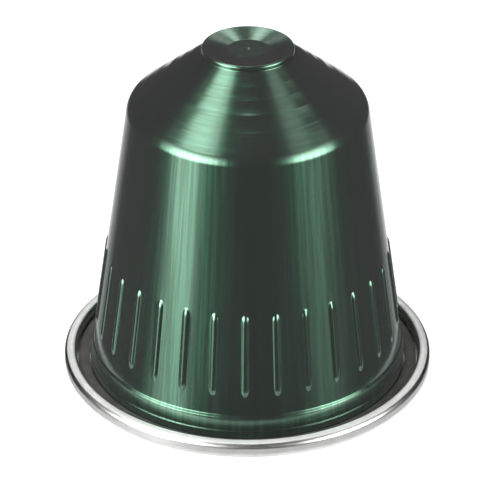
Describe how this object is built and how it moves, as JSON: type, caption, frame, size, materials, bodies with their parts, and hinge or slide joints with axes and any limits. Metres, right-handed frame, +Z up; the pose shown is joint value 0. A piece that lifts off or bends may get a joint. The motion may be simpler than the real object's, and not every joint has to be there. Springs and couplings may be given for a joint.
{
  "type": "coffee pod",
  "caption": "Green lacquered aluminium coffee pod with a ribbed tapered wall, dished top, rolled rim and a foil lid underneath.",
  "frame": {"origin": "centre of the foil lid's underside, on the surface that the pod stands on", "axes": "+Z up through the dished top along the pod's axis, +X to the right and -Y towards the picture's camera"},
  "size_m": [0.037, 0.037, 0.0352],
  "materials": {
    "lacquered_green": "green lacquer over drawn aluminium, semi-gloss",
    "seal_grey": "dark grey sealing compound, satin",
    "bare_aluminium": "bare foil, satin"
  },
  "bodies": {
    "root": {"pod_body": "lacquered_green", "sealing_ring": "seal_grey", "foil_lid": "bare_aluminium"}
  },
  "joints": []
}
